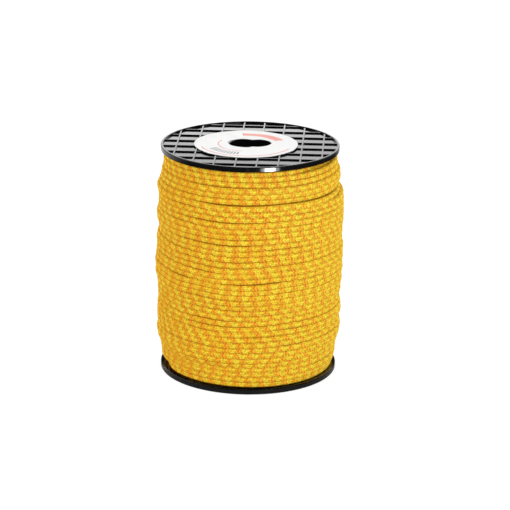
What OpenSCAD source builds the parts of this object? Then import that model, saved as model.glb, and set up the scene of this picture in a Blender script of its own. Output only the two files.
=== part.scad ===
// Spool of 4.5 mm braided cord, standing on its lower flange.
// Two alike moulded flanges, each a thin web with a waffle of ribs on its outer face, are
// carried by a plain core tube. The cord is wound between them to just past their rims, and a
// round paper label lies on the upper ribs.
// The origin is the centre of the base, and +Z runs up the spindle bore. Sizes are millimetres.

/* [Flanges] */
// Diameter of both flanges
flange_d = 145; // [130:1:170]
// Overall height of the spool, from the lower rim to the upper rim
overall_h = 190; // [160:1:230]
// Height of a flange's rim
flange_h = 4.4; // [4.2:0.1:6]
// Thickness of the web between the ribs
web_t = 2.8; // [1.4:0.1:3]
// Width of the rim, seen from above
rim_w = 2; // [1.8:0.1:4]
// Rounding of the rim's two outer edges
rim_round = 0.8; // [0.4:0.1:0.9]

/* [Waffle ribs] */
// Distance from rib to rib, in both directions
rib_pitch = 16.9; // [10:0.1:24]
// Thickness of a rib
rib_w = 1.2; // [0.8:0.1:2.5]
// How far the ribs' tops lie below the rim's top
rib_drop = 0.5; // [0.4:0.1:1]
// Turn of the waffle round the axis, in degrees
rib_turn = -3; // [-45:0.1:45]

/* [Hub] */
// Diameter of the spindle bore
bore_d = 16; // [12:0.5:22]
// Length of the sleeve round the bore
sleeve_h = 16; // [8:1:30]
// Diameter of the open cup outside the sleeve
cup_d = 34; // [30:0.5:40]
// Depth of the cup, from the rim's plane
cup_depth = 12; // [8:0.5:20]
// Wall of the cup, the sleeve and the ring that holds the tube
hub_wall = 1.8; // [1.2:0.1:2.4]
// Length of the ring that holds the core tube
spigot_h = 10; // [5:0.5:20]
// Number of stiffening webs between the cup and that ring
hub_webs = 6; // [3:1:12]

/* [Core tube] */
// Outer diameter of the core tube
tube_d = 56; // [52:0.5:80]
// Wall of the core tube
tube_wall = 2.5; // [1.5:0.1:3.5]
// Radial play between the tube and the ring inside it
tube_fit = 0.15; // [0.05:0.05:0.4]

/* [Winding] */
// Diameter of the cord
cord_d = 4.5; // [3:0.5:7]
// Outer diameter of the wound cord
pack_d = 152; // [135:0.1:180]
// Height above the lower web where the outermost layer begins
low_shoulder = 14; // [8:0.5:30]
// Height below the upper web where the outermost layer ends
top_shoulder = 30; // [10:0.5:50]
// Least gap that is left between two turns of the outermost layer
turn_gap = 0.7; // [0.5:0.1:2]
// Most loops in the outermost layer
most_loops = 24; // [6:1:24]
// Angle of the outermost layer's lower end round the axis
low_end_a = -25; // [-180:5:180]
// Angle by which its upper end stops short of a whole turn
top_end_short = 135; // [0:15:345]
// Radius of the bend where each end tucks in under its neighbours
tuck_r = 7.5; // [5:0.5:12]
// How far the pack draws in at the lower flange
low_drop = 2.4; // [0.5:0.1:6]
// Height over which it draws in there
low_slope = 5; // [2:0.5:12]
// How far the pack draws in at the upper flange
top_drop = 1.2; // [0.5:0.1:6]
// Height over which it draws in there
top_slope = 10; // [2:0.5:20]

/* [Cord's inner end] */
// Height of its hole above the lower web
start_z = 26; // [18:1:60]
// Angle of its hole round the axis
start_a = 150; // [-180:5:180]
// Radial play of the cord in its hole
start_room = 0.5; // [0.2:0.1:1.5]
// Distance of the stopper knot's middle inside the tube's inner face
knot_in = 4; // [3.6:0.1:6]
// Radius of the stopper knot's ring
knot_r = 3.6; // [3.5:0.1:5]

/* [Label] */
// Diameter of the paper label
label_d = 84; // [60:1:110]
// Thickness of the paper
label_t = 0.3; // [0.1:0.05:0.4]
// Shift of the label's middle from the axis, sideways
label_x = -3.4; // [-8:0.1:8]
// Shift of the label's middle from the axis, front to back
label_y = -0.6; // [-8:0.1:8]
// Distance from the axis to the middle of each of the hole's two lobes
lobe_x = 6.3; // [4:0.1:8]
// How much larger than the bore the left lobe's radius is
left_lobe = 3.8; // [2.5:0.1:6]
// How much larger than the bore the right lobe's radius is
right_lobe = 2.6; // [2.5:0.1:6]
// Shift of the left lobe, front to back
lobe_y = 0.8; // [0:0.1:1.5]

/* [Hidden] */
$fn = 96;

plastic_black = "#17171a";
tube_black = "#26262a";
cord_yellow = "#f2c22e";
core_yellow = "#dba524";
paper_white = "#f4f4f2";

// Overlap that joins two shapes of one moulding, and the reach of a cut past a face
weld = 0.2;
over = 1;
// Gap that soft pieces keep from their neighbours
soft_gap = 0.3;

flange_r = flange_d / 2;
web_z = flange_h - web_t;
rib_half = floor((flange_r - rim_w) / rib_pitch + 0.5);
bore_r = bore_d / 2;
cup_r = cup_d / 2;
hub_end = cup_depth + sleeve_h;
tube_r = tube_d / 2;
tube_in_r = tube_r - tube_wall;
spigot_r = tube_in_r - tube_fit;
tube_h = overall_h - 2 * flange_h;

// The cord is drawn with six sides: corners up and down, flats in and out
sides = 6;
rings_per_loop = 24;
ring_step = 360 / rings_per_loop;
cord_r = cord_d / 2;
flat_r = cord_r * cos(180 / sides);
layer_r = pack_d / 2 - flat_r;
core_r = layer_r * cos(ring_step / 2) - flat_r - soft_gap;
pack_in_r = tube_r + soft_gap;
pack_z0 = flange_h + soft_gap;
pack_z1 = overall_h - flange_h - soft_gap;

// Route of the outermost layer: a helix whose two ends bend in square to the axis
layer_z0 = flange_h + low_shoulder;
layer_h = overall_h - flange_h - top_shoulder - layer_z0;
loops = min(most_loops, floor(layer_h / (cord_d + turn_gap)));
layer_rings = loops * rings_per_loop - round(top_end_short / ring_step);
turn_pitch = layer_h * rings_per_loop / layer_rings;
bend_steps = 4;

function outward(a) = [cos(a), sin(a), 0];
function along(a) = [-sin(a), cos(a), 0];
function layer_a(i) = low_end_a + i * ring_step;
function layer_z(i) = layer_z0 + turn_pitch * i / rings_per_loop;
function at_height(v, z) = [v[0], v[1], z];

// A ring of the route is its middle and the direction that faces away from the core.
// way is 1 where the cord runs on past angle a, and -1 where it runs back.
function loop_ring(i) = [at_height(layer_r * outward(layer_a(i)), layer_z(i)), outward(layer_a(i))];
function bend_ring(a, z, way, turn) =
    let (facing = cos(turn) * outward(a) + way * sin(turn) * along(a))
    [at_height((layer_r - tuck_r) * outward(a) + tuck_r * facing, z), facing];
function end_ring(a, z, way) =
    let (bent = bend_ring(a, z, way, 90))
    [bent[0] - cord_d * outward(a), bent[1]];

last_a = layer_a(layer_rings);
last_z = layer_z(layer_rings);
route = concat(
    [end_ring(low_end_a, layer_z0, -1)],
    [for (k = [bend_steps : -1 : 1]) bend_ring(low_end_a, layer_z0, -1, 90 * k / bend_steps)],
    [for (i = [0 : layer_rings]) loop_ring(i)],
    [for (k = [1 : bend_steps]) bend_ring(last_a, last_z, 1, 90 * k / bend_steps)],
    [end_ring(last_a, last_z, 1)]);

function ring_point(ring, k) =
    let (turn = (k + 0.5) * 360 / sides)
    ring[0] + cord_r * (cos(turn) * ring[1] + sin(turn) * [0, 0, 1]);
function ring_points(ring) = [for (k = [0 : sides - 1]) ring_point(ring, k)];

// Two triangles for each side of each stretch, and a fan of triangles at each end
function wall_faces(i, k) =
    let (a = i * sides + k, b = i * sides + (k + 1) % sides)
    [[a, b, b + sides], [a, b + sides, a + sides]];
function tube_faces(rings) = concat(
    [for (i = [0 : rings - 2], k = [0 : sides - 1], f = [0, 1]) wall_faces(i, k)[f]],
    [for (k = [1 : sides - 2]) [0, k + 1, k]],
    [for (k = [1 : sides - 2]) (rings - 1) * sides * [1, 1, 1] + [0, k, k + 1]]);

// Least distance between the points of one turn and those of the turn above it
least_gap = min([for (i = [0 : layer_rings - rings_per_loop - 1], d = [-1 : 1])
    min([for (p = ring_points(loop_ring(i)), q = ring_points(loop_ring(i + rings_per_loop + d)))
        norm(p - q)])]);
echo(str("outer_layer: ", loops, " loops, turn pitch ", turn_pitch, " mm, least gap ", least_gap, " mm"));

module ring(outer_r, wall, h) {
    difference() {
        cylinder(r = outer_r, h = h);
        translate([0, 0, -over]) cylinder(r = outer_r - wall, h = h + 2 * over);
    }
}

// Rim of a flange: a square bar whose outer corners are rounded
module rim() {
    rotate_extrude() {
        translate([flange_r - rim_w, 0]) square([rim_w - rim_round, flange_h]);
        translate([flange_r - rim_w, rim_round]) square([rim_w, flange_h - 2 * rim_round]);
        translate([flange_r - rim_round, rim_round]) circle(r = rim_round);
        translate([flange_r - rim_round, flange_h - rim_round]) circle(r = rim_round);
    }
}

// Two crossing rows of ribs. No rib runs through the middle, which is the middle of a pocket.
module waffle() {
    intersection() {
        for (turn = [0, 90], k = [-rib_half : rib_half - 1])
            rotate(rib_turn + turn)
                translate([(k + 0.5) * rib_pitch - rib_w / 2, -flange_r, rib_drop])
                    cube([rib_w, flange_d, web_z - rib_drop + weld]);
        cylinder(r = flange_r - rim_w + weld, h = flange_h);
    }
}

// Stiffening webs between the cup and the ring that holds the tube
module hub_stays() {
    for (k = [0 : hub_webs - 1])
        rotate(k * 360 / hub_webs)
            translate([cup_r + hub_wall / 2, -hub_wall / 2, flange_h - weld])
                cube([spigot_r - cup_r - hub_wall, hub_wall, spigot_h / 2 + weld]);
}

// One flange with its outer face at z = 0 and the tube's side upwards
module flange() {
    difference() {
        union() {
            rim();
            translate([0, 0, web_z]) cylinder(r = flange_r - rim_round, h = web_t);
            waffle();
            translate([0, 0, rib_drop]) cylinder(r = cup_r + hub_wall, h = cup_depth + hub_wall - rib_drop);
            translate([0, 0, cup_depth]) cylinder(r = bore_r + hub_wall, h = sleeve_h);
            translate([0, 0, flange_h - weld]) ring(spigot_r, hub_wall, spigot_h + weld);
            hub_stays();
        }
        translate([0, 0, -over]) cylinder(r = cup_r, h = cup_depth + over);
        cylinder(r = bore_r, h = hub_end + over);
    }
}

module bottom_flange() {
    color(plastic_black) flange();
}

module top_flange() {
    color(plastic_black) translate([0, 0, overall_h]) mirror([0, 0, 1]) flange();
}

// Places its children along a radius, pointing outwards, at the cord's inner end
module at_cord_start() {
    translate([0, 0, flange_h + start_z]) rotate(start_a) rotate([0, 90, 0]) children();
}

module core_tube() {
    color(tube_black) difference() {
        translate([0, 0, flange_h]) ring(tube_r, tube_wall, tube_h);
        at_cord_start() cylinder(r = cord_r + start_room, h = tube_r + over);
    }
}

// The inner end of the cord, through the tube's wall, with a stopper knot drawn as a ring
module cord_start() {
    knot_x = tube_in_r - knot_in;
    color(cord_yellow) at_cord_start() {
        translate([0, 0, knot_x - cord_r]) cylinder(r = cord_r, h = tube_r - knot_x + cord_r);
        translate([0, 0, knot_x]) rotate_extrude() translate([knot_r, 0]) circle(r = cord_r);
    }
}

// Room in the pack for an end of the outermost layer, on its way in
module tuck_room(a, z, way) {
    floor_r = layer_r - tuck_r - cord_d - soft_gap;
    room_l = tuck_r + cord_r + soft_gap;
    rotate(a)
        translate([floor_r, way > 0 ? 0 : -room_l, z - cord_r - soft_gap])
            cube([layer_r - floor_r, room_l, cord_d + 2 * soft_gap]);
}

// All the layers under the outermost one, as one plain barrel
module inner_layers() {
    color(core_yellow) difference() {
        rotate_extrude()
            polygon([
                [pack_in_r, pack_z0],
                [core_r - low_drop, pack_z0],
                [core_r, pack_z0 + low_slope],
                [core_r, pack_z1 - top_slope],
                [core_r - top_drop, pack_z1],
                [pack_in_r, pack_z1]]);
        tuck_room(low_end_a, layer_z0, -1);
        tuck_room(last_a, last_z, 1);
    }
}

// The outermost layer: one unbroken cord, wound as a helix on the barrel
module outer_layer() {
    color(cord_yellow)
        polyhedron(points = [for (ring = route) each ring_points(ring)], faces = tube_faces(len(route)));
}

// Round paper label on the upper ribs, with a two-lobed hole over the hub's cup
module top_label() {
    color(paper_white) translate([0, 0, overall_h - rib_drop]) difference() {
        translate([label_x, label_y, 0]) cylinder(d = label_d, h = label_t);
        translate([-lobe_x, lobe_y, -over]) cylinder(r = bore_r + left_lobe, h = label_t + 2 * over);
        translate([lobe_x, 0, -over]) cylinder(r = bore_r + right_lobe, h = label_t + 2 * over);
    }
}

bottom_flange();
top_flange();
core_tube();
cord_start();
inner_layers();
outer_layer();
top_label();
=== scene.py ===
import math

import bmesh
import bpy
import numpy as np
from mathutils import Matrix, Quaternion, Vector


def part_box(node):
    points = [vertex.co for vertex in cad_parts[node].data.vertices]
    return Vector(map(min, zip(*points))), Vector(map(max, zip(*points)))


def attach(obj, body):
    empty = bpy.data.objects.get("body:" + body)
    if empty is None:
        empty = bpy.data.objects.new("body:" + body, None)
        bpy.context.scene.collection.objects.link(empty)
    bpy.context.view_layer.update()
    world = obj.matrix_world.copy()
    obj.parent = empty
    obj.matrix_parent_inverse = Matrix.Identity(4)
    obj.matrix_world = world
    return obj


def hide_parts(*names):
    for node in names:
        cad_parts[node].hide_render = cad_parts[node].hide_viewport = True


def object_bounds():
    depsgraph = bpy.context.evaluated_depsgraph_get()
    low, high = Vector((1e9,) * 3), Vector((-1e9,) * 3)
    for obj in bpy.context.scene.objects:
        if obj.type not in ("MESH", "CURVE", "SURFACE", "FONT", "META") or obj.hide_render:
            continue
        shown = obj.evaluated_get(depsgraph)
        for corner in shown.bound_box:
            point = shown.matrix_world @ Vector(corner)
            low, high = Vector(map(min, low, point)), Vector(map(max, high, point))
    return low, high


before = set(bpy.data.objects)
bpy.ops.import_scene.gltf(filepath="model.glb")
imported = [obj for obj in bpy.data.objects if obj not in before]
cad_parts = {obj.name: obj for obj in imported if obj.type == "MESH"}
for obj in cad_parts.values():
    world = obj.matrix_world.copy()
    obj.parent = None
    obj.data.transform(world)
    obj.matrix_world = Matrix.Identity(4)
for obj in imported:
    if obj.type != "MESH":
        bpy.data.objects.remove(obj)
cad_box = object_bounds()
bpy.ops.object.select_all(action="DESELECT")


# ---- Camera ----------------------------------------------------------------------------
# A long lens, almost two metres away and a little above the upper flange. It is turned
# slightly about its own axis, so the spool's top leans to the right.
aim = Vector((0.00487, 0.0, 0.09513))
eye_distance = 1.943
eye_elevation = math.radians(17.77)
eye_roll = math.radians(0.644)
lens_mm = 166.84
sensor_mm = 36.0
nearest_seen = 0.05
furthest_seen = 50.0

camera = bpy.data.objects.new("camera", bpy.data.cameras.new("camera"))
bpy.context.scene.collection.objects.link(camera)
bpy.context.scene.camera = camera
camera.data.sensor_width = sensor_mm
camera.data.lens = lens_mm
camera.data.clip_start = nearest_seen
camera.data.clip_end = furthest_seen
camera.rotation_mode = "QUATERNION"
to_eye = Vector((0.0, -math.cos(eye_elevation), math.sin(eye_elevation)))
camera.location = aim + to_eye * eye_distance
camera.rotation_quaternion = (-to_eye).to_track_quat("-Z", "Y") @ Quaternion((0, 0, 1), eye_roll)
bpy.context.scene.view_settings.view_transform = "Standard"


# ---- Floor and surroundings ------------------------------------------------------------
# A wide white floor in a white studio, both white for the camera. In reflections they are white
# behind the spool and on its left, and dim in front and at the horizon; the floor also has a
# painted shadow round the spool, grey at its foot. A black flag behind, seen only in reflections,
# keeps the lower flange dark.
floor_half = 12.0
floor_drop = 0.0002
floor_glow = 0.80
floor_share = 0.30
floor_bounce = 0.9
studio_level = 0.80
dim_level = 0.06
horizon_level = 0.12
# How dark the painted shadow round the spool is, in reflections
spool_shadow_level = 0.08
foot_level = 0.35
right_pull = -0.5
full_white = (1, 1, 1, 1)
flag_place = (0, 0.5, 0.17)
flag_size = (0.9, 0.14)
flag_tint = (0.01, 0.01, 0.01, 1)

# Where the mirrored studio goes from one level to the next: how far back its directions point and
# how high they rise, and for the floor how far back and how far from the spool's axis, in metres
wall_whitens = (-0.25, 0.45)
wall_rises = (0.05, 0.20)
floor_whitens = (0.2, 0.8)
spool_shadow_reach = (0.09, 0.24)
floor_fades = (1.1, 2.0)
foot_fades = (0.080, 0.110)


def add_node(tree, kind, inputs=None, **settings):
    """A shader node with its settings, and with each input set to a value or linked to a socket."""
    made = tree.nodes.new("ShaderNode" + kind)
    for key, value in settings.items():
        setattr(made, key, value)
    for key, value in (inputs or {}).items():
        if isinstance(value, bpy.types.NodeSocket):
            tree.links.new(value, made.inputs[key])
        else:
            made.inputs[key].default_value = value
    return made


def calc(tree, operation, *values):
    """The result of a Math node."""
    inputs = dict(enumerate(values))
    return add_node(tree, "Math", inputs, operation=operation).outputs[0]


def ramp(tree, value, low, high, start=0.0, end=1.0):
    """start up to low, end from high on, and a smooth way between them."""
    inputs = {"Value": value, "From Min": low, "From Max": high, "To Min": start, "To Max": end}
    return add_node(tree, "MapRange", inputs, interpolation_type="SMOOTHSTEP").outputs[0]


def mirrored_only(tree):
    """1 where a ray comes from a mirror or glass, and 0 elsewhere."""
    path = add_node(tree, "LightPath")
    return calc(tree, "MAXIMUM", path.outputs["Is Glossy Ray"], path.outputs["Is Transmission Ray"])


def camera_only(tree):
    """1 where a ray comes straight from the camera, and 0 elsewhere."""
    return add_node(tree, "LightPath").outputs["Is Camera Ray"]


def how_far_back(tree, spot):
    """How far back a direction or a place lies, with what is on the left counted as further back."""
    return calc(tree, "MULTIPLY_ADD", spot["X"], right_pull, spot["Y"])


def new_material(name):
    """A material with an empty node tree."""
    material = bpy.data.materials.new(name)
    material.use_nodes = True
    material.node_tree.nodes.clear()
    return material


def white_studio():
    """A world of even light, white for the camera, and with a dim front and horizon in reflections."""
    world = bpy.data.worlds.new("studio")
    world.use_nodes = True
    tree = world.node_tree
    tree.nodes.clear()
    heading = add_node(tree, "SeparateXYZ", {0: add_node(tree, "TexCoord").outputs["Generated"]}).outputs
    wall = ramp(tree, how_far_back(tree, heading), *wall_whitens, dim_level, 1.0)
    wall = calc(tree, "MULTIPLY", wall, ramp(tree, heading["Z"], *wall_rises, horizon_level, 1.0))
    wall = calc(tree, "SUBTRACT", wall, studio_level)
    level = calc(tree, "MULTIPLY_ADD", mirrored_only(tree), wall, studio_level)
    level = calc(tree, "MAXIMUM", level, camera_only(tree))
    glow = add_node(tree, "Background", {"Color": full_white, "Strength": level})
    add_node(tree, "OutputWorld", {"Surface": glow.outputs[0]})
    return world


def lit_floor_paper():
    """White paper that glows for the camera and in reflections, and still keeps the spool's shadow."""
    material = new_material("floor_paper")
    tree = material.node_tree
    place = add_node(tree, "TexCoord").outputs["Object"]
    spot = add_node(tree, "SeparateXYZ", {0: place}).outputs
    reach = add_node(tree, "VectorMath", {0: place}, operation="LENGTH").outputs["Value"]
    lit = ramp(tree, how_far_back(tree, spot), *floor_whitens, dim_level, 1.0)
    # A painted shadow round the spool, seen only in reflections, grey at its foot
    lit = calc(tree, "MULTIPLY", lit, ramp(tree, reach, *spool_shadow_reach, spool_shadow_level, 1.0))
    lit = calc(tree, "MULTIPLY", lit, ramp(tree, reach, *floor_fades, 1.0, horizon_level))
    lit = calc(tree, "MAXIMUM", lit, ramp(tree, reach, *foot_fades, foot_level, 0.0))
    lit = calc(tree, "MAXIMUM", lit, calc(tree, "SUBTRACT", 1.0, mirrored_only(tree)))
    strength = calc(tree, "MULTIPLY", lit, floor_glow)
    share = calc(tree, "MULTIPLY", lit, floor_share)
    bounce = add_node(tree, "BsdfDiffuse", {"Color": (floor_bounce, floor_bounce, floor_bounce, 1)})
    shade = add_node(tree, "BsdfDiffuse", {"Color": share})
    white = add_node(tree, "Emission", {"Color": full_white, "Strength": strength})
    lifted = add_node(tree, "AddShader", {0: shade.outputs[0], 1: white.outputs[0]})
    seen = calc(tree, "MAXIMUM", camera_only(tree), mirrored_only(tree))
    both = add_node(tree, "MixShader", {0: seen, 1: bounce.outputs[0], 2: lifted.outputs[0]})
    add_node(tree, "OutputMaterial", {"Surface": both.outputs[0]})
    return material


def flag_cloth():
    """Dull black cloth."""
    material = new_material("flag_black")
    tree = material.node_tree
    dull = add_node(tree, "BsdfDiffuse", {"Color": flag_tint})
    add_node(tree, "OutputMaterial", {"Surface": dull.outputs[0]})
    return material


bpy.context.scene.world = white_studio()

bpy.ops.mesh.primitive_plane_add(size=2 * floor_half, location=(0, 0, -floor_drop))
floor = bpy.context.object
floor.name = "floor"
floor.data.materials.append(lit_floor_paper())

bpy.ops.mesh.primitive_plane_add(size=1.0, location=flag_place, rotation=(math.pi / 2, 0, 0))
flag = bpy.context.object
flag.name = "low_flag"
flag.scale = (*flag_size, 1.0)
flag.visible_camera = False
flag.visible_diffuse = False
flag.visible_shadow = False
flag.data.materials.append(flag_cloth())


# ---- Lights ----------------------------------------------------------------------------
# A large soft lamp high on the right, a weaker one on the left, which doesn't glint, and a wide
# one low behind the spool. Three cards only glint: one behind, in the far pockets of the upper
# flange, and two in front, a small one and a wide faint one, on its rim.
rim_glint = (0.018, -0.070, 0.188)
rim_card_spread = 45


def soft_lamp(name, place, toward, size, power, glints=True, glint_only=False, spread_deg=180):
    """A rectangular lamp at a place, turned toward a point."""
    data = bpy.data.lights.new(name, "AREA")
    data.shape = "RECTANGLE"
    data.size = size[0]
    data.size_y = size[1]
    data.energy = power
    data.spread = math.radians(spread_deg)
    lamp = bpy.data.objects.new(name, data)
    bpy.context.scene.collection.objects.link(lamp)
    lamp.location = place
    lamp.rotation_mode = "QUATERNION"
    lamp.rotation_quaternion = (Vector(toward) - Vector(place)).to_track_quat("-Z", "Y")
    lamp.visible_camera = False
    lamp.visible_diffuse = not glint_only
    lamp.visible_glossy = glints


soft_lamp("key_lamp", (1.05, -1.3, 0.75), (0, 0, 0.1), size=(1.6, 0.9), power=13.5)
soft_lamp("fill_lamp", (-1.5, -0.6, 0.9), (0, 0, 0.08), size=(1.0, 1.0), power=8.5, glints=False)
soft_lamp("back_lamp", (0.1, 1.5, 0.55), (0, 0, 0.18), size=(2.4, 0.6), power=4.0)
soft_lamp("pocket_card", (-0.1, 0.52, 0.290), (0, 0.05, 0.19), size=(1.0, 0.07), power=0.20,
          glint_only=True)
soft_lamp("rim_card", (0.199, -0.448, 0.055), rim_glint, size=(0.105, 0.16), power=0.20,
          glint_only=True, spread_deg=rim_card_spread)
soft_lamp("rim_veil", (0.203, -0.456, 0.055), rim_glint, size=(0.20, 0.16), power=0.08,
          glint_only=True, spread_deg=rim_card_spread)


# ---- Flanges ---------------------------------------------------------------------------
# Two alike mouldings of glossy black plastic. Each is a thin web with a raised rim, a waffle
# of ribs on its outer face and a hub. Every outward edge has the small round of a polished
# mould.
flange_height = 0.0044
edge_round = 0.00018
edge_angle = math.radians(50)
shortest_rounded = 0.0003
rim_width = 0.002
rim_inside_round = 0.0004
rim_outside_round = 0.0009
smooth_below = math.radians(30)
same_point = 1e-6
same_plane = math.radians(0.4)
same_place = 0.0001
flange_tint = (0.0020, 0.0020, 0.0023)
dust_tint = (0.42, 0.41, 0.39, 1)
grain_depth = 0.0001
grain_relief = 0.15

# How much unevenness, scuffs and dust dull the gloss, and how much dust lies between its specks
uneven_dulling = 0.06
scuff_dulling = 0.12
dust_dulling = 0.4
even_dust = 0.10


def corner_directions(shell, rim_from):
    """The shading direction of each face's corners: the mean, by area, of the faces there that lean
    less than smooth_below from it. On the rim's outer wall it points straight outwards."""
    areas = [face.calc_area() for face in shell.faces]
    directions = []
    for face in shell.faces:
        for corner in face.loops:
            mean = Vector((0.0, 0.0, 0.0))
            for other in corner.vert.link_faces:
                if face.normal.dot(other.normal) > math.cos(smooth_below):
                    mean += other.normal * areas[other.index]
            mean.normalize()
            outwards = corner.vert.co.xy
            if outwards.length > rim_from and mean.xy.dot(outwards) > 0:
                mean.xy = outwards.normalized() * mean.xy.length
            directions.append(mean)
    return directions


def juts_out(edge):
    """Whether an edge is an outward corner, and sharp enough to be rounded."""
    return edge.is_convex and edge.calc_face_angle() > edge_angle


def off_rim_corner(point, low, high):
    """How far a point of a flange with that box lies from the inner corner of its rim."""
    off_face = min(abs(point.z - low.z), abs(point.z - high.z))
    return max(off_face, abs(math.hypot(point.x, point.y) - (high.x - rim_width)))


def rounded_copy(node_name, name):
    """The node's shape as a closed mesh of its own, its flat faces whole and its outward edges round."""
    piece = bpy.data.objects.new(name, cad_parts[node_name].data.copy())
    piece.data.materials.clear()
    bpy.context.scene.collection.objects.link(piece)
    shell = bmesh.new()
    shell.from_mesh(piece.data)
    bmesh.ops.remove_doubles(shell, verts=shell.verts, dist=same_point)
    bmesh.ops.dissolve_limit(shell, angle_limit=same_plane, verts=shell.verts, edges=shell.edges)
    low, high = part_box(node_name)
    inside_rim = []
    for edge in shell.edges:
        off_rim = max(off_rim_corner(end.co, low, high) for end in edge.verts)
        if off_rim < same_place and juts_out(edge):
            inside_rim.append(edge)
    bmesh.ops.bevel(shell, geom=inside_rim, offset=rim_inside_round, segments=3, profile=0.5, affect="EDGES")
    outward = []
    for edge in shell.edges:
        if juts_out(edge) and edge.calc_length() > shortest_rounded:
            outward.append(edge)
    bmesh.ops.bevel(shell, geom=outward, offset=edge_round, segments=2, profile=0.5, affect="EDGES")
    shell.faces.index_update()
    shell.normal_update()
    directions = corner_directions(shell, high.x - rim_outside_round)
    shell.to_mesh(piece.data)
    shell.free()
    bpy.ops.object.select_all(action="DESELECT")
    bpy.context.view_layer.objects.active = piece
    piece.select_set(True)
    bpy.ops.object.shade_smooth()
    piece.data.normals_split_custom_set(directions)
    return piece


def noise(tree, place, scale, detail):
    """Random values about 0.5, which change over a distance of about 1 / scale."""
    return add_node(tree, "TexNoise", {"Vector": place, "Scale": scale, "Detail": detail}).outputs["Fac"]


def blend_colours(tree, share, low, high):
    """The colour that goes from low to high as share goes from 0 to 1."""
    return add_node(tree, "Mix", {0: share, 6: low, 7: high}, data_type="RGBA").outputs[2]


def finish_group():
    """Moulded finish: fine unevenness, faint scuffs and dust, from Object coordinates."""
    tree = bpy.data.node_groups.new("moulded_finish", "ShaderNodeTree")
    for name in ("Roughness", "Dust"):
        tree.interface.new_socket(name, in_out="INPUT", socket_type="NodeSocketFloat")
    for name in ("Roughness", "Dust", "Height"):
        tree.interface.new_socket(name, in_out="OUTPUT", socket_type="NodeSocketFloat")
    given = tree.nodes.new("NodeGroupInput").outputs
    place = add_node(tree, "TexCoord").outputs["Object"]
    flow = noise(tree, place, scale=60.0, detail=3.0)
    grain = noise(tree, place, scale=1400.0, detail=2.0)
    stretch = add_node(tree, "Mapping", {"Vector": place, "Rotation": (0, 0, 0.6), "Scale": (90, 2600, 90)})
    scuff = ramp(tree, noise(tree, stretch.outputs[0], scale=1.0, detail=1.0), 0.66, 0.74)
    speck = ramp(tree, noise(tree, place, scale=900.0, detail=1.0), 0.68, 0.80)
    uneven = calc(tree, "MULTIPLY_ADD", flow, uneven_dulling, -uneven_dulling / 2)
    rough = calc(tree, "ADD", given["Roughness"], uneven)
    rough = calc(tree, "MULTIPLY_ADD", scuff, scuff_dulling, rough)
    dust = calc(tree, "MULTIPLY", speck, given["Dust"])
    dust = calc(tree, "MULTIPLY_ADD", flow, calc(tree, "MULTIPLY", given["Dust"], even_dust), dust)
    results = {
        "Roughness": calc(tree, "MULTIPLY_ADD", dust, dust_dulling, rough),
        "Dust": dust,
        "Height": calc(tree, "MULTIPLY_ADD", grain, grain_relief, flow),
    }
    out = tree.nodes.new("NodeGroupOutput")
    for name, value in results.items():
        tree.links.new(value, out.inputs[name])
    return tree


moulded_finish = finish_group()


def moulded_plastic(name, colour, roughness, dust, relief):
    """A moulded plastic with the finish above."""
    material = new_material(name)
    tree = material.node_tree
    given = {"Roughness": roughness, "Dust": dust}
    finish = add_node(tree, "Group", given, node_tree=moulded_finish).outputs
    bump = add_node(tree, "Bump", {"Height": finish["Height"], "Strength": relief, "Distance": grain_depth})
    skin = add_node(tree, "BsdfPrincipled", {
        "Base Color": blend_colours(tree, finish["Dust"], (*colour, 1), dust_tint),
        "Roughness": finish["Roughness"],
        "Normal": bump.outputs[0],
        "Specular IOR Level": 0.35,
    })
    add_node(tree, "OutputMaterial", {"Surface": skin.outputs[0]})
    return material


flange_black = moulded_plastic("flange_black", flange_tint, roughness=0.10, dust=0.03, relief=0.012)

for node_name in ("bottom_flange", "top_flange"):
    flange = rounded_copy(node_name, node_name + "_moulding")
    flange.data.materials.append(flange_black)
    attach(flange, "root")
    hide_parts(node_name)


# ---- Core tube -------------------------------------------------------------------------
# A plain extruded tube of dull black plastic that holds the flanges apart. The cord covers
# it, so it keeps its own shape.
tube_tint = (0.012, 0.012, 0.013)
tube_black = moulded_plastic("tube_black", tube_tint, roughness=0.5, dust=0.02, relief=0.3)
core_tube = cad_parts["core_tube"]
core_tube.data.materials.clear()
core_tube.data.materials.append(tube_black)


# ---- Cord ------------------------------------------------------------------------------
# A 4.5 mm braid of sixteen strands, eight each way, that pass over two and under two. Each way
# two strands are red, the second one paler, two are amber and one is olive. The others are lemon
# yellow or golden.
strands_each_way = 8
sides = 2 * strands_each_way
strand_high = 0.00012
strand_low = 0.00016
cord_half_r = 0.00213
cord_half_z = 0.00225
squareness = 3.6
ring_step = 0.00067
strand_side_steepness = 3.0
strand_end_steepness = 4.0
yarns_in_strand = 5
yarn_relief = 0.08

# The strands that run one way are 0 to 7, and those that run the other way 8 to 15. Each of
# these strands has that share of its colour, and the others are lemon.
red_strands = {0: 1.0, 8: 1.0, 6: 0.8, 10: 0.55}
gold_strands = {5: 0.9, 7: 0.9, 9: 0.9, 15: 0.9}
olive_strands = {4: 0.62, 12: 0.18}


def strand_on_top(i, j):
    """The strand that shows at a raised point: which way it runs, and its number."""
    first = (i + j) // 2
    second = (i - j) // 2
    over = (first - second) % 4 < 2
    return over, np.where(over, first, second)


def cord_section(roll):
    """Points round the cord for each roll: how far each lies outwards and upwards. The cord is a
    circle that its neighbours press a little square."""
    lobe = 2 * math.pi * np.arange(sides)[None, :] / sides + roll[:, None]
    reach = (np.abs(np.cos(lobe)) ** squareness + np.abs(np.sin(lobe)) ** squareness) ** (-1 / squareness)
    raised = (np.arange(len(roll))[:, None] + np.arange(sides)[None, :]) % 2
    relief = np.where(raised == 1, strand_high, -strand_low)
    return (cord_half_r * reach + relief) * np.cos(lobe), (cord_half_z * reach + relief) * np.sin(lobe)


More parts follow.
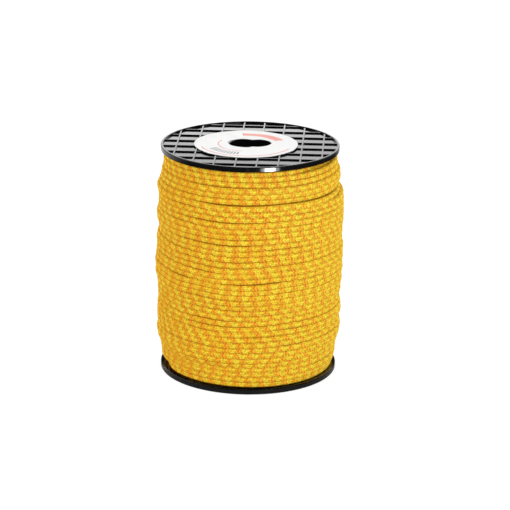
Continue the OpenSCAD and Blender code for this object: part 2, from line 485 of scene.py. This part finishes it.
def mesh_piece(name, points, faces, face_uv):
    """A smooth-shaded piece of triangles or quads, with a UV map named braid."""
    corners = faces.shape[1]
    mesh = bpy.data.meshes.new(name)
    mesh.vertices.add(len(points))
    mesh.vertices.foreach_set("co", points.astype(np.float32).ravel())
    mesh.loops.add(faces.size)
    mesh.loops.foreach_set("vertex_index", faces.astype(np.int32).ravel())
    mesh.polygons.add(len(faces))
    mesh.polygons.foreach_set("loop_start", np.arange(0, faces.size, corners, dtype=np.int32))
    mesh.update(calc_edges=True)
    mesh.uv_layers.new(name="braid").data.foreach_set("uv", face_uv.astype(np.float32).ravel())
    mesh.polygons.foreach_set("use_smooth", np.ones(len(faces), dtype=bool))
    mesh.update()
    mesh.validate()
    piece = bpy.data.objects.new(name, mesh)
    bpy.context.scene.collection.objects.link(piece)
    return piece


def braid_mesh(name, ring_points, first_ring):
    """A closed braided tube through rings of points. Each raised point is the middle of a cell of the
    braid, and the faces are cut so that two cells of one strand join in a ridge."""
    count = len(ring_points)
    i, j = np.meshgrid(np.arange(count - 1), np.arange(sides), indexing="ij")
    i = i.ravel()
    j = j.ravel()
    ring = i + first_ring
    raised_start = (ring + j) % 2 == 1
    a_i, a_j = ring, np.where(raised_start, j, j + 1)
    b_i, b_j = ring + 1, np.where(raised_start, j + 1, j)
    a_over, a_strand = strand_on_top(a_i, a_j)
    b_over, b_strand = strand_on_top(b_i, b_j)
    same = (a_over == b_over) & (a_strand == b_strand)
    low_cut = raised_start == same
    near, far = i * sides + j, i * sides + (j + 1) % sides
    corners = np.stack([near, near + sides, far + sides, far], axis=1)
    along = np.stack([ring, ring + 1, ring + 1, ring], axis=1) / sides
    around = np.stack([j, j, j + 1, j + 1], axis=1) / sides
    plain = np.array([[0, 1, 2], [0, 2, 3]])
    crossed = np.array([[0, 1, 3], [1, 2, 3]])
    pick = np.where(low_cut[:, None, None], plain, crossed)
    rows = np.arange(len(i))[:, None, None]
    faces = corners[rows, pick].reshape(-1, 3)
    face_uv = np.stack([along[rows, pick], around[rows, pick]], axis=-1).reshape(-1, 2)
    fan = np.arange(1, sides - 1)
    start_cap = np.stack([0 * fan, fan, fan + 1], axis=1)
    end_cap = (count - 1) * sides + np.stack([0 * fan, fan + 1, fan], axis=1)
    faces = np.concatenate([faces, start_cap, end_cap])
    face_uv = np.concatenate([face_uv, np.zeros((6 * len(fan), 2))])
    return mesh_piece(name, ring_points.reshape(-1, 3), faces, face_uv)


def braid_group():
    """The strands of the braid, from the piece's own UV map: which one shows, and how it is shaped."""
    tree = bpy.data.node_groups.new("braid", "ShaderNodeTree")
    for name in ("Red", "Gold", "Olive", "Edge", "Chance", "Height"):
        tree.interface.new_socket(name, in_out="OUTPUT", socket_type="NodeSocketFloat")
    place = add_node(tree, "SeparateXYZ", {0: add_node(tree, "UVMap", uv_map="braid").outputs[0]})
    u = calc(tree, "MULTIPLY", place.outputs[0], float(strands_each_way))
    v = calc(tree, "MULTIPLY", place.outputs[1], float(strands_each_way))
    first = calc(tree, "ADD", u, v)
    second = calc(tree, "SUBTRACT", u, v)
    first_no = calc(tree, "FLOOR", first)
    second_no = calc(tree, "FLOOR", second)
    step = calc(tree, "FLOORED_MODULO", calc(tree, "SUBTRACT", first_no, second_no), 4.0)
    over = calc(tree, "LESS_THAN", step, 1.5)

    def pick(low, high):
        """low where the second set of strands is on top, high where the first is."""
        return calc(tree, "MULTIPLY_ADD", over, calc(tree, "SUBTRACT", high, low), low)

    first_part = calc(tree, "FRACT", first)
    second_part = calc(tree, "FRACT", second)
    first_strand = calc(tree, "FLOORED_MODULO", first_no, float(strands_each_way))
    second_strand = calc(tree, "FLOORED_MODULO", second_no, float(strands_each_way))
    strand = pick(calc(tree, "ADD", second_strand, float(strands_each_way)), first_strand)
    across = pick(second_part, first_part)
    half = pick(
        calc(tree, "ADD", first_part, calc(tree, "SUBTRACT", step, 2.0)),
        calc(tree, "ADD", second_part, calc(tree, "SUBTRACT", 1.0, step)),
    )
    along = calc(tree, "MULTIPLY", half, 0.5)

    def one_of(shares):
        """Each numbered strand's share of a colour."""
        total = 0.0
        for number, share in shares.items():
            is_it = calc(tree, "COMPARE", strand, float(number), 0.1)
            total = calc(tree, "MULTIPLY_ADD", is_it, share, total)
        return total

    crossing = add_node(tree, "CombineXYZ", {0: first_no, 1: second_no, 2: 0.5}).outputs[0]
    chance = add_node(tree, "TexWhiteNoise", {"Vector": crossing}).outputs["Value"]
    off_axis = calc(tree, "ABSOLUTE", calc(tree, "MULTIPLY_ADD", across, 2.0, -1.0))
    off_middle = calc(tree, "ABSOLUTE", calc(tree, "MULTIPLY_ADD", along, 2.0, -1.0))
    side_edge = calc(tree, "POWER", off_axis, strand_side_steepness)
    end_edge = calc(tree, "POWER", off_middle, strand_end_steepness)
    edge = calc(tree, "MAXIMUM", side_edge, end_edge)
    yarns = calc(tree, "SINE", calc(tree, "MULTIPLY", across, 2 * math.pi * yarns_in_strand))
    height = calc(tree, "MULTIPLY_ADD", yarns, yarn_relief, calc(tree, "SUBTRACT", 1.0, edge))
    out = tree.nodes.new("NodeGroupOutput")
    results = {
        "Red": one_of(red_strands),
        "Gold": one_of(gold_strands),
        "Olive": one_of(olive_strands),
        "Edge": edge,
        "Chance": chance,
        "Height": height,
    }
    for name, value in results.items():
        tree.links.new(value, out.inputs[name])
    return tree


cord_lemon = (1.0, 0.88, 0.065, 1)
cord_gold = (0.95, 0.50, 0.012, 1)
cord_red = (0.86, 0.11, 0.036, 1)
cord_olive = (0.36, 0.20, 0.005, 1)
# Painted shade: the valleys where strands dip are darkened towards this colour
dip_shade_colour = (0.50, 0.22, 0.004, 1)
patch_gold = 0.50
# Painted shade makes the cord more golden on its left, and painted light makes it paler on its right
gold_in_left_shade = 0.14
gold_in_right_light = -0.22
# Painted light makes the amber strands paler on the cord's right
amber_in_right_light = 0.6
palest_red = 0.70
valley_shade = 0.80
chance_shade = 0.30
fuzz_relief = 0.35
strand_depth = 0.00015


def braided_yarn():
    """Matt yarn, coloured strand by strand. It is more golden in patches and its red is faded here and
    there. Painted shade makes it more golden towards the left and darker where strands dip, and
    painted light makes it and its amber strands paler towards the right."""
    material = new_material("cord_braid")
    tree = material.node_tree
    strands = add_node(tree, "Group", node_tree=braid_group()).outputs
    place = add_node(tree, "TexCoord").outputs["Object"]
    to_right = add_node(tree, "SeparateXYZ", {0: place}).outputs["X"]
    golden_patches_and_side_light = ramp(tree, noise(tree, place, scale=70.0, detail=2.0), 0.35, 0.70, 0.0, patch_gold)
    # Painted shade on the cord's left and painted light on its right
    golden_patches_and_side_light = calc(tree, "ADD", golden_patches_and_side_light, ramp(tree, to_right, -0.06, 0.06, gold_in_left_shade, gold_in_right_light))
    # The amber strands pale where painted light falls on the right
    amber = calc(tree, "MULTIPLY", strands["Gold"], ramp(tree, to_right, -0.01, 0.06, 1.0, amber_in_right_light))
    colour = blend_colours(tree, calc(tree, "MAXIMUM", golden_patches_and_side_light, amber), cord_lemon, cord_gold)
    unfaded = ramp(tree, noise(tree, place, scale=240.0, detail=1.0), 0.35, 0.65, palest_red, 1.0)
    colour = blend_colours(tree, calc(tree, "MULTIPLY", strands["Red"], unfaded), colour, cord_red)
    colour = blend_colours(tree, strands["Olive"], colour, cord_olive)
    chance = ramp(tree, strands["Chance"], 0.0, 1.0)
    # Painted shade in the valleys where strands dip, and a random darkening of each crossing
    shadow = calc(tree, "MULTIPLY", strands["Edge"], valley_shade)
    shadow = calc(tree, "MULTIPLY_ADD", chance, chance_shade, shadow)
    fuzz = noise(tree, place, scale=2600.0, detail=2.0)
    height = calc(tree, "MULTIPLY_ADD", fuzz, fuzz_relief, strands["Height"])
    bump = add_node(tree, "Bump", {"Height": height, "Strength": 0.8, "Distance": strand_depth})
    skin = add_node(tree, "BsdfPrincipled", {
        "Base Color": blend_colours(tree, shadow, colour, dip_shade_colour),
        "Roughness": 0.62,
        "Normal": bump.outputs[0],
        "Specular IOR Level": 0.06,
    })
    add_node(tree, "OutputMaterial", {"Surface": skin.outputs[0]})
    return material


cord_braid = braided_yarn()


# ---- Cord's inner end ------------------------------------------------------------------
# Where winding began, the cord goes through a hole in the tube's wall and ends in an overhand
# knot inside, which keeps it from pulling out. Nothing of it shows from outside.
knot_height = 0.0304
knot_angle = math.radians(150)

# The cord's middle line in millimetres: outwards from the spool's axis, sideways and upwards
knot_route = ((28.1, 0, 0), (24, 0, 0), (19.5, -0.4, 0), (15.5, 0.3, 0), (12.8, 3.2, 0), (12.8, 7, 0.2),
              (15.5, 9.2, 0.5), (19, 8, 2), (21.3, 4.6, 4.2), (21.6, 0, 5), (21.4, -4.4, 2.6),
              (21, -4.9, -1.6), (20, -1.8, -4.8), (18, 2.2, -5.2), (16.9, 4.6, -2.5), (16.6, 4.7, 2),
              (16.4, 4.6, 8))


def through(xs, ys, x):
    """A smooth curve through the points (xs, ys), at x."""
    xs = np.asarray(xs, float)
    ys = np.asarray(ys, float)
    slope = np.gradient(ys, xs)
    k = np.clip(np.searchsorted(xs, x) - 1, 0, len(xs) - 2)
    span = xs[k + 1] - xs[k]
    s = np.clip((x - xs[k]) / span, 0.0, 1.0)
    return ((1 + 2 * s) * (1 - s) ** 2 * ys[k] + s * (1 - s) ** 2 * span * slope[k]
            + s * s * (3 - 2 * s) * ys[k + 1] + s * s * (s - 1) * span * slope[k + 1])


route = 0.001 * np.array(knot_route)
reached = np.concatenate([[0.0], np.cumsum(np.linalg.norm(np.diff(route, axis=0), axis=1))])
knot_rings = round(reached[-1] / ring_step)
stations = np.linspace(0, reached[-1], knot_rings)
middle = np.stack([through(reached, route[:, axis], stations) for axis in range(3)], axis=1)
heading = np.gradient(middle, axis=0)
heading /= np.linalg.norm(heading, axis=1)[:, None]
side = np.array((0.0, 0.0, 1.0))
knot_points = []
out_by, up_by = cord_section(np.zeros(knot_rings))
for ring in range(knot_rings):
    side = side - heading[ring] * (side @ heading[ring])
    side = side / np.linalg.norm(side)
    other = np.cross(side, heading[ring])
    knot_points.append(middle[ring] + out_by[ring][:, None] * other + up_by[ring][:, None] * side)
knot_points = np.array(knot_points)
turned = np.stack([
    knot_points[..., 0] * math.cos(knot_angle) - knot_points[..., 1] * math.sin(knot_angle),
    knot_points[..., 0] * math.sin(knot_angle) + knot_points[..., 1] * math.cos(knot_angle),
    knot_points[..., 2] + knot_height,
], axis=-1)
inner_end = braid_mesh("cord_inner_end", turned, first_ring=0)
inner_end.data.materials.append(cord_braid)
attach(inner_end, "root")
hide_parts("cord_start")


# ---- Layers under the outermost one ----------------------------------------------------
# The same cord, wound back and forth in many layers. The one below the outermost was laid the
# other way, so its turns run down where those above them run up.
turns = 39
pack_play = 0.0003
pack_low = flange_height + pack_play
pack_high = cad_box[1][2] - flange_height - pack_play
layer_pitch = (pack_high - pack_low) / turns
columns = 120
rows_per_ridge = 8
ridge_height = 0.0021
barrel_in_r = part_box("core_tube")[1].x + pack_play
barrel_mean_r = 0.072
layer_drop_mm = 4.2

# Where the outermost layer comes to its end, and over how much height the pack grows thinner
thinner_from_mm = 143
thinner_within_mm = 8

# Where round its cord a ridge starts, and how much of the cord's round it shows
ridge_from = -0.375
ridge_shows = 0.5

# The pack's outer radius on its left and on its right side, in millimetres, by height. The
# second list is for what lies above the end of the outermost layer.
full_layer = ((5, 71.0, 68.7), (9, 71.1, 69.7), (12, 71.2, 70.8), (19, 71.8, 71.8), (26, 73.8, 72.1),
              (33, 75.4, 74.6), (41, 75.2, 75.6), (47, 75.5, 74.8), (54, 74.8, 76.0), (64, 74.8, 74.2),
              (70, 74.3, 75.5), (76, 75.2, 76.6), (88, 76.5, 76.7), (98, 76.2, 77.1),
              (108, 75.8, 76.4), (115, 75.2, 75.7), (123, 73.9, 76.5), (132, 75.7, 76.8),
              (143, 73.9, 76.7), (155, 75.1, 76.3), (162, 75.0, 76.0))
short_layer = ((150, 75.0, 73.2), (156, 75.0, 72.8), (161, 73.5, 72.6), (166, 71.9, 74.1),
               (171, 70.7, 73.2), (176, 70.0, 71.2), (181, 70.0, 70.6), (186, 69.0, 69.5))


def pack_radius(profile, height_mm, angle):
    """The pack's outer radius in millimetres at a height and an angle."""
    heights, left, right = np.array(profile, float).T
    to_right = 0.5 + 0.5 * np.cos(angle)
    left_mm = through(heights, left, height_mm)
    return left_mm + (through(heights, right, height_mm) - left_mm) * to_right


def smooth_step(x):
    """0 up to 0, 1 from 1 on, and a smooth way between them."""
    x = np.clip(x, 0.0, 1.0)
    return x * x * (3 - 2 * x)


row_z = np.linspace(pack_low, pack_high, turns * rows_per_ridge + 1)
column_angle = 2 * math.pi * np.arange(columns) / columns
z, angle = np.meshgrid(row_z, column_angle, indexing="ij")
ridge = (z - pack_low) / layer_pitch + angle / (2 * math.pi)
under_full = pack_radius(full_layer, z * 1000, angle)
under_short = np.minimum(under_full, pack_radius(short_layer, z * 1000, angle))
short_share = smooth_step((z * 1000 - thinner_from_mm) / thinner_within_mm)
top_mm = under_full + (under_short - under_full) * short_share - layer_drop_mm
bulge = np.sqrt(np.maximum(0.0, 1 - (2 * (ridge % 1.0) - 1) ** 2))
r = 0.001 * top_mm - ridge_height * (1 - bulge)
wall = np.stack([r * np.cos(angle), r * np.sin(angle), z], axis=-1)
inner = np.stack([barrel_in_r * np.cos(column_angle), barrel_in_r * np.sin(column_angle)], axis=-1)
low_ring = np.concatenate([inner, np.full((columns, 1), pack_low)], axis=1)
high_ring = np.concatenate([inner, np.full((columns, 1), pack_high)], axis=1)
shell_points = np.concatenate([low_ring[None], wall, high_ring[None]])
row_count = len(shell_points)
i, j = np.meshgrid(np.arange(row_count), np.arange(columns), indexing="ij")
i = i.ravel()
j = j.ravel()
above = (i + 1) % row_count
beside = (j + 1) % columns
row = i * columns
next_row = above * columns
faces = np.stack([row + j, row + beside, next_row + beside, next_row + j], axis=1)
ridge_rows = np.concatenate([ridge[:1], ridge, ridge[-1:]])
turn_below = np.floor(0.5 * (ridge_rows[i, j] + ridge_rows[above, j]))
rings_round = 2 * math.pi * barrel_mean_r / ring_step
face_u = np.stack([j, j + 1, j + 1, j], axis=1) / columns * rings_round / sides
low_v = ridge_rows[i, j] - turn_below
high_v = ridge_rows[above, j] - turn_below
step_v = 1 / columns
up_ridge = np.stack([low_v, low_v + step_v, high_v + step_v, high_v], axis=1)
face_uv = np.stack([face_u, ridge_from + ridge_shows * up_ridge], axis=-1)
inner_layers = mesh_piece("inner_layers_wound", shell_points.reshape(-1, 3), faces, face_uv)
inner_layers.data.materials.append(cord_braid)
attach(inner_layers, "root")
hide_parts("inner_layers")


# ---- Outer winding ---------------------------------------------------------------------
# The turns that show, one unbroken run of cord from the lower flange to the upper one. They
# follow the barrel of the layers below, part here and there, and sink in at both flanges.
rings_per_turn = 704
start_angle = math.radians(-178)
end_angle = math.radians(-28)
lay_on_flange = 0.62
climb_share = 0.62
turns_to_settle = 14
start_lift = 0.0021
start_lift_angle = math.radians(-150)
start_lift_reach = math.radians(118)
start_lift_turns = 10
pieces_of_winding = 5
flange_play = 0.00012
gap_wander = 0.00008
layer_end_height = 0.1545
layer_end_angle = math.radians(-34)
layer_end_turns = 0.09

# How far the turns' radius strays from the pack's, in millimetres: in waves round and up the
# spool, in slow and in quick wandering. It strays less and less near the upper flange.
swell_mm = 0.25
swells_round = 3
swell_rise_mm = 17
slow_stray_mm = 0.24
quick_stray_mm = 0.10
stray_up_to_mm = 181
stray_fades_mm = 12

# The ends go inwards under the turns beside them
tuck_turns = 0.10
tuck_depth = 2.2 * cord_half_r

# The cord rolls about its middle line, and its braid is drawn out or pushed together in places
cord_roll = 2 * math.pi / strands_each_way
roll_wander = 0.12
braid_drift = 0.38

# Where turns part, in millimetres and degrees: height and angle of the gap's middle, half its
# length, and how far it opens
partings = ((176, -137, 20, 0.5), (176.5, -62, 20, 0.4), (167, -112, 46, 0.5), (157, -102, 34, 1.1),
            (155, -18, 30, 1.2), (150, -138, 20, 0.4), (140.5, -112, 52, 0.8), (137, -138, 18, 0.5),
            (128, -105, 40, 0.4), (122.5, -108, 56, 0.9), (116, -138, 20, 0.5), (119, -64, 20, 0.4),
            (111, -112, 44, 0.5), (105.5, -100, 40, 0.4), (101, -80, 28, 0.4), (92.5, -140, 18, 0.8),
            (92.5, -88, 24, 0.3), (85, -30, 26, 0.7), (86.5, -66, 18, 0.4), (80, -118, 34, 0.5),
            (70, -100, 44, 0.4), (60.5, -120, 34, 0.5), (55.5, -112, 40, 0.5), (54, -62, 18, 0.4),
            (49.5, -76, 34, 0.4), (41.5, -70, 50, 0.4), (38, -138, 20, 0.4), (25, -64, 22, 0.5),
            (24.5, -124, 20, 0.4), (17, -32, 24, 0.8), (128, 60, 45, 0.8), (104, 120, 40, 0.9),
            (84, 40, 35, 0.7), (57, 95, 45, 0.9), (36, 20, 35, 0.7), (25, 160, 40, 0.6),
            (160, 130, 45, 0.8), (150, 80, 35, 0.6), (115, 175, 26, 0.6))


def wander(count, reach, seed):
    """A smooth random curve of that many points, about 1 high, that changes over about reach points."""
    draws = np.random.default_rng(seed).normal(size=count + 8 * reach)
    kernel = np.exp(-0.5 * (np.arange(-3 * reach, 3 * reach + 1) / reach) ** 2)
    curve = np.convolve(draws, kernel, "same")[4 * reach:4 * reach + count]
    return curve / curve.std()


last_part = ((end_angle - start_angle) / (2 * math.pi)) % 1.0
turns_laid = turns + last_part
grid_size = (turns + 1) * rings_per_turn
turn_no = np.arange(turns + 1)[:, None]
part = (np.arange(rings_per_turn) / rings_per_turn)[None, :]
low_z = flange_height + flange_play + cord_half_z
high_z = cad_box[1][2] - flange_height - flange_play - cord_half_z
rough_pitch = (high_z - low_z) / turns_laid


def turn_at(height, angle):
    """How many turns up the winding passes an angle near a height."""
    rough = (height - low_z) / rough_pitch
    share = ((angle - start_angle) / (2 * math.pi)) % 1.0
    return round(rough - share) + share


gap = gap_wander * wander(grid_size, reach=60, seed=11).reshape(turns + 1, rings_per_turn)
for height_mm, angle_deg, half_deg, open_mm in partings:
    centre = turn_at(height_mm * 0.001, math.radians(angle_deg))
    away = np.abs(turn_no + part - centre) * 360 / half_deg
    gap += 0.001 * open_mm * smooth_step(1 - away)
gap = gap * smooth_step(turn_no + part) * smooth_step(turns_laid - 1 - turn_no - part)
opened = np.concatenate([np.zeros((1, rings_per_turn)), np.cumsum(gap, axis=0)[:-1]])

# At each angle the turns fill the way between the flanges. One more of them passes before the
# winding's end than after it.
turns_above = np.where(part < last_part, turns, turns - 1)
opened_last = np.take_along_axis(opened, turns_above, axis=0)
climb = (high_z - low_z - opened_last) / turns
early = smooth_step((part - lay_on_flange) / (1 - lay_on_flange))
late = smooth_step((part - last_part) / climb_share)
lowest = low_z + climb * early
highest = high_z - np.where(part < last_part, 0.0, climb * (1 - late))
pitch = (highest - lowest - opened_last) / turns_above
settled = smooth_step((turn_no + part) / turns_to_settle) - (turn_no + part) / turns_laid
centre_z = lowest + turn_no * pitch + opened + climb * (late - early) * settled
from_lift = (start_angle + 2 * math.pi * part - start_lift_angle + math.pi) % (2 * math.pi) - math.pi
lift = start_lift * smooth_step(1 - np.abs(from_lift) / start_lift_reach)
centre_z = centre_z + lift * smooth_step(1 - (turn_no + part) / start_lift_turns)

ring_count = round(turns_laid * rings_per_turn)
centre_z = centre_z.ravel()[:ring_count]
t = (turn_no + part).ravel()[:ring_count]
angle = start_angle + 2 * math.pi * t
z_mm = centre_z * 1000
ended = smooth_step((t - turn_at(layer_end_height, layer_end_angle)) / layer_end_turns + 0.5)
outer_mm = pack_radius(full_layer, z_mm, angle)
outer_mm += ended * (pack_radius(short_layer, z_mm, angle) - outer_mm)
stray_mm = swell_mm * np.sin(swells_round * angle + z_mm / swell_rise_mm)
stray_mm += slow_stray_mm * wander(ring_count, reach=70, seed=5)
stray_mm += quick_stray_mm * wander(ring_count, reach=20, seed=6)
stray_mm *= smooth_step((stray_up_to_mm - z_mm) / stray_fades_mm)
centre_r = 0.001 * (outer_mm + stray_mm) - cord_half_r
centre_r -= tuck_depth * (smooth_step(1 - t / tuck_turns) + smooth_step(1 - (turns_laid - t) / tuck_turns))

out_by, up_by = cord_section(cord_roll + roll_wander * wander(ring_count, reach=500, seed=21))
repeat_angle = 2 * math.pi * sides / rings_per_turn
laid_angle = angle + braid_drift * repeat_angle * wander(ring_count, reach=220, seed=31)
out_r = centre_r[:, None] + out_by
out_z = centre_z[:, None] + up_by
rings = np.stack([out_r * np.cos(laid_angle)[:, None], out_r * np.sin(laid_angle)[:, None], out_z], axis=-1)

for number in range(pieces_of_winding):
    first = number * ring_count // pieces_of_winding
    last = min((number + 1) * ring_count // pieces_of_winding, ring_count - 1)
    winding = braid_mesh(f"outer_winding_{number + 1}", rings[first:last + 1], first_ring=first)
    winding.data.materials.append(cord_braid)
    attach(winding, "root")
    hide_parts("outer_layer")


# ---- Label -----------------------------------------------------------------------------
# A round label of coated white paper, glued to the upper ribs and printed with a plain red and
# grey pattern. It sinks a little into the pockets, and its hole was cut in two strokes.
label_rings = 22
label_sides = 240
paper = 0.00022
sink = 0.00025
sink_within = 0.004
rib_pitch = 0.0169
rib_turn = math.radians(-3)
hub_r = 0.0188
paper_edge_angle = math.radians(40)
curl_height = 0.00010
curl_share = 0.12
droop_depth = 0.00030
droop_from = hub_r - 0.002
droop_within = 0.006
label_low, label_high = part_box("top_label")
label_mid = (label_low + label_high) / 2
label_r = (label_high.x - label_low.x) / 2

# The hole's two round lobes, each with its middle and its radius, and how unevenly they were cut
hole_lobes = ((-0.0056, 0.0024, 0.0126), (0.0060, 0.0026, 0.0112))
coarse_cut = 0.00012
fine_cut = 0.00008

# The printed arcs: inner and outer radius in millimetres, first and last angle in degrees. The
# grey one is cut up in strokes.
red_arcs = ((25.5, 33.0, 22.0, 96.0), (36.4, 37.6, 196.0, 338.0), (22.0, 23.0, 150.0, 262.0))
grey_arc = (26.0, 33.0, 205.5, 259.5)
stroke_and_gap_deg = 5.0
stroke_border_deg = (1.0, 1.5)
border_mm = 0.15
border_deg = 0.3
red_cover = 0.95
grey_cover = 0.85
soiled_mm = (41.3, 41.9)
soiled_share = 0.25
paper_white = (0.82, 0.82, 0.815, 1)
paper_shade = (0.775, 0.775, 0.765, 1)
print_red = (0.78, 0.24, 0.17, 1)
print_grey = (0.11, 0.11, 0.12, 1)
soiled_tint = (0.45, 0.44, 0.42, 1)
fibre_depth = 0.00005


def circle_reach(x, y, radius, angle):
    """Distance from the spool's axis to a circle round (x, y), in the direction of an angle."""
    along = x * np.cos(angle) + y * np.sin(angle)
    return along + np.sqrt(np.maximum(0.0, along ** 2 + radius ** 2 - x * x - y * y))


def printed_paper():
    """Coated white paper, slightly cloudy and soiled at its edge, with the red and grey print."""
    material = new_material("label_paper")
    tree = material.node_tree
    place = add_node(tree, "TexCoord").outputs["Object"]
    shifted = add_node(tree, "Mapping", {"Vector": place, "Location": (-label_mid.x, -label_mid.y, 0.0)})
    spot = add_node(tree, "SeparateXYZ", {0: shifted.outputs[0]}).outputs
    x_squared = calc(tree, "MULTIPLY", spot["X"], spot["X"])
    y_squared = calc(tree, "MULTIPLY", spot["Y"], spot["Y"])
    far_mm = calc(tree, "MULTIPLY", calc(tree, "SQRT", calc(tree, "ADD", x_squared, y_squared)), 1000.0)
    turn_deg = calc(tree, "MULTIPLY", calc(tree, "ARCTAN2", spot["Y"], spot["X"]), 180 / math.pi)
    turn_deg = calc(tree, "FLOORED_MODULO", turn_deg, 360.0)

    def between(value, low, high, blur):
        """1 between low and high, with soft borders."""
        rise = ramp(tree, value, low - blur, low + blur)
        fall = ramp(tree, value, high + blur, high - blur)
        return calc(tree, "MULTIPLY", rise, fall)

    def arc(inner_mm, outer_mm, first_deg, last_deg):
        """A printed arc, by its radii and angles."""
        ring = between(far_mm, inner_mm, outer_mm, border_mm)
        sector = between(turn_deg, first_deg, last_deg, border_deg)
        return calc(tree, "MULTIPLY", ring, sector)

    red = 0.0
    for red_arc in red_arcs:
        red = calc(tree, "MAXIMUM", arc(*red_arc), red)
    stroke = calc(tree, "PINGPONG", turn_deg, stroke_and_gap_deg / 2)
    stroke = ramp(tree, stroke, *stroke_border_deg)
    grey = calc(tree, "MULTIPLY", arc(*grey_arc), stroke)
    cloud = noise(tree, place, scale=45.0, detail=2.0)
    tint = blend_colours(tree, cloud, paper_white, paper_shade)
    tint = blend_colours(tree, calc(tree, "MULTIPLY", red, red_cover), tint, print_red)
    tint = blend_colours(tree, calc(tree, "MULTIPLY", grey, grey_cover), tint, print_grey)
    tint = blend_colours(tree, ramp(tree, far_mm, *soiled_mm, 0.0, soiled_share), tint, soiled_tint)
    fibre = noise(tree, place, scale=500.0, detail=4.0)
    bump = add_node(tree, "Bump", {"Height": fibre, "Strength": 0.15, "Distance": fibre_depth})
    skin = add_node(tree, "BsdfPrincipled", {
        "Base Color": tint,
        "Roughness": calc(tree, "MULTIPLY_ADD", cloud, 0.10, 0.38),
        "Normal": bump.outputs[0],
        "Specular IOR Level": 0.4,
    })
    add_node(tree, "OutputMaterial", {"Surface": skin.outputs[0]})
    return material


bpy.ops.object.select_all(action="DESELECT")
bpy.ops.mesh.primitive_circle_add(vertices=label_sides, radius=1.0, fill_type="NOTHING")
label = bpy.context.object
label.name = "top_label_printed"
label.data.name = "top_label_printed"
bpy.ops.object.mode_set(mode="EDIT")
bpy.ops.mesh.select_all(action="SELECT")
for ring in range(label_rings):
    shrink = (label_rings * 2 - ring - 1) / (label_rings * 2 - ring)
    bpy.ops.mesh.extrude_edges_indiv()
    bpy.ops.transform.resize(value=(shrink, shrink, 1.0), center_override=(0, 0, 0))
bpy.ops.object.mode_set(mode="OBJECT")

flat = np.empty(3 * len(label.data.vertices))
label.data.vertices.foreach_get("co", flat)
flat = flat.reshape(-1, 3)
direction = np.arctan2(flat[:, 1], flat[:, 0])
inward = 2 * (1 - np.hypot(flat[:, 0], flat[:, 1]))
hole = np.max([circle_reach(x, y, radius, direction) for x, y, radius in hole_lobes], axis=0)
hole += coarse_cut * np.sin(7 * direction + 1) + fine_cut * np.sin(13 * direction)
edge = circle_reach(label_mid.x, label_mid.y, label_r, direction)
spread = edge + (hole - edge) * inward
x = spread * np.cos(direction)
y = spread * np.sin(direction)
across = x * math.cos(rib_turn) + y * math.sin(rib_turn)
deep = y * math.cos(rib_turn) - x * math.sin(rib_turn)
pocket = np.cos(math.pi * across / rib_pitch) ** 2 * np.cos(math.pi * deep / rib_pitch) ** 2
pocket = pocket * smooth_step((spread - hub_r) / sink_within)
curl = curl_height * smooth_step(1 - inward / curl_share) * (1 + np.sin(2 * direction + 0.7))
droop = droop_depth * smooth_step((droop_from - spread) / droop_within) * (1 + 0.5 * np.sin(3 * direction))
height = label_high.z - sink * pocket + curl - droop
label.data.vertices.foreach_set("co", np.stack([x, y, height], axis=1).ravel())
label.data.update()
if label.data.polygons[0].normal.z < 0:
    label.data.flip_normals()
body = label.modifiers.new("paper", "SOLIDIFY")
body.thickness = paper
body.offset = -1.0
bpy.ops.object.modifier_apply(modifier=body.name)
bpy.ops.object.shade_smooth_by_angle(angle=paper_edge_angle)
label.data.materials.append(printed_paper())
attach(label, "root")
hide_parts("top_label")
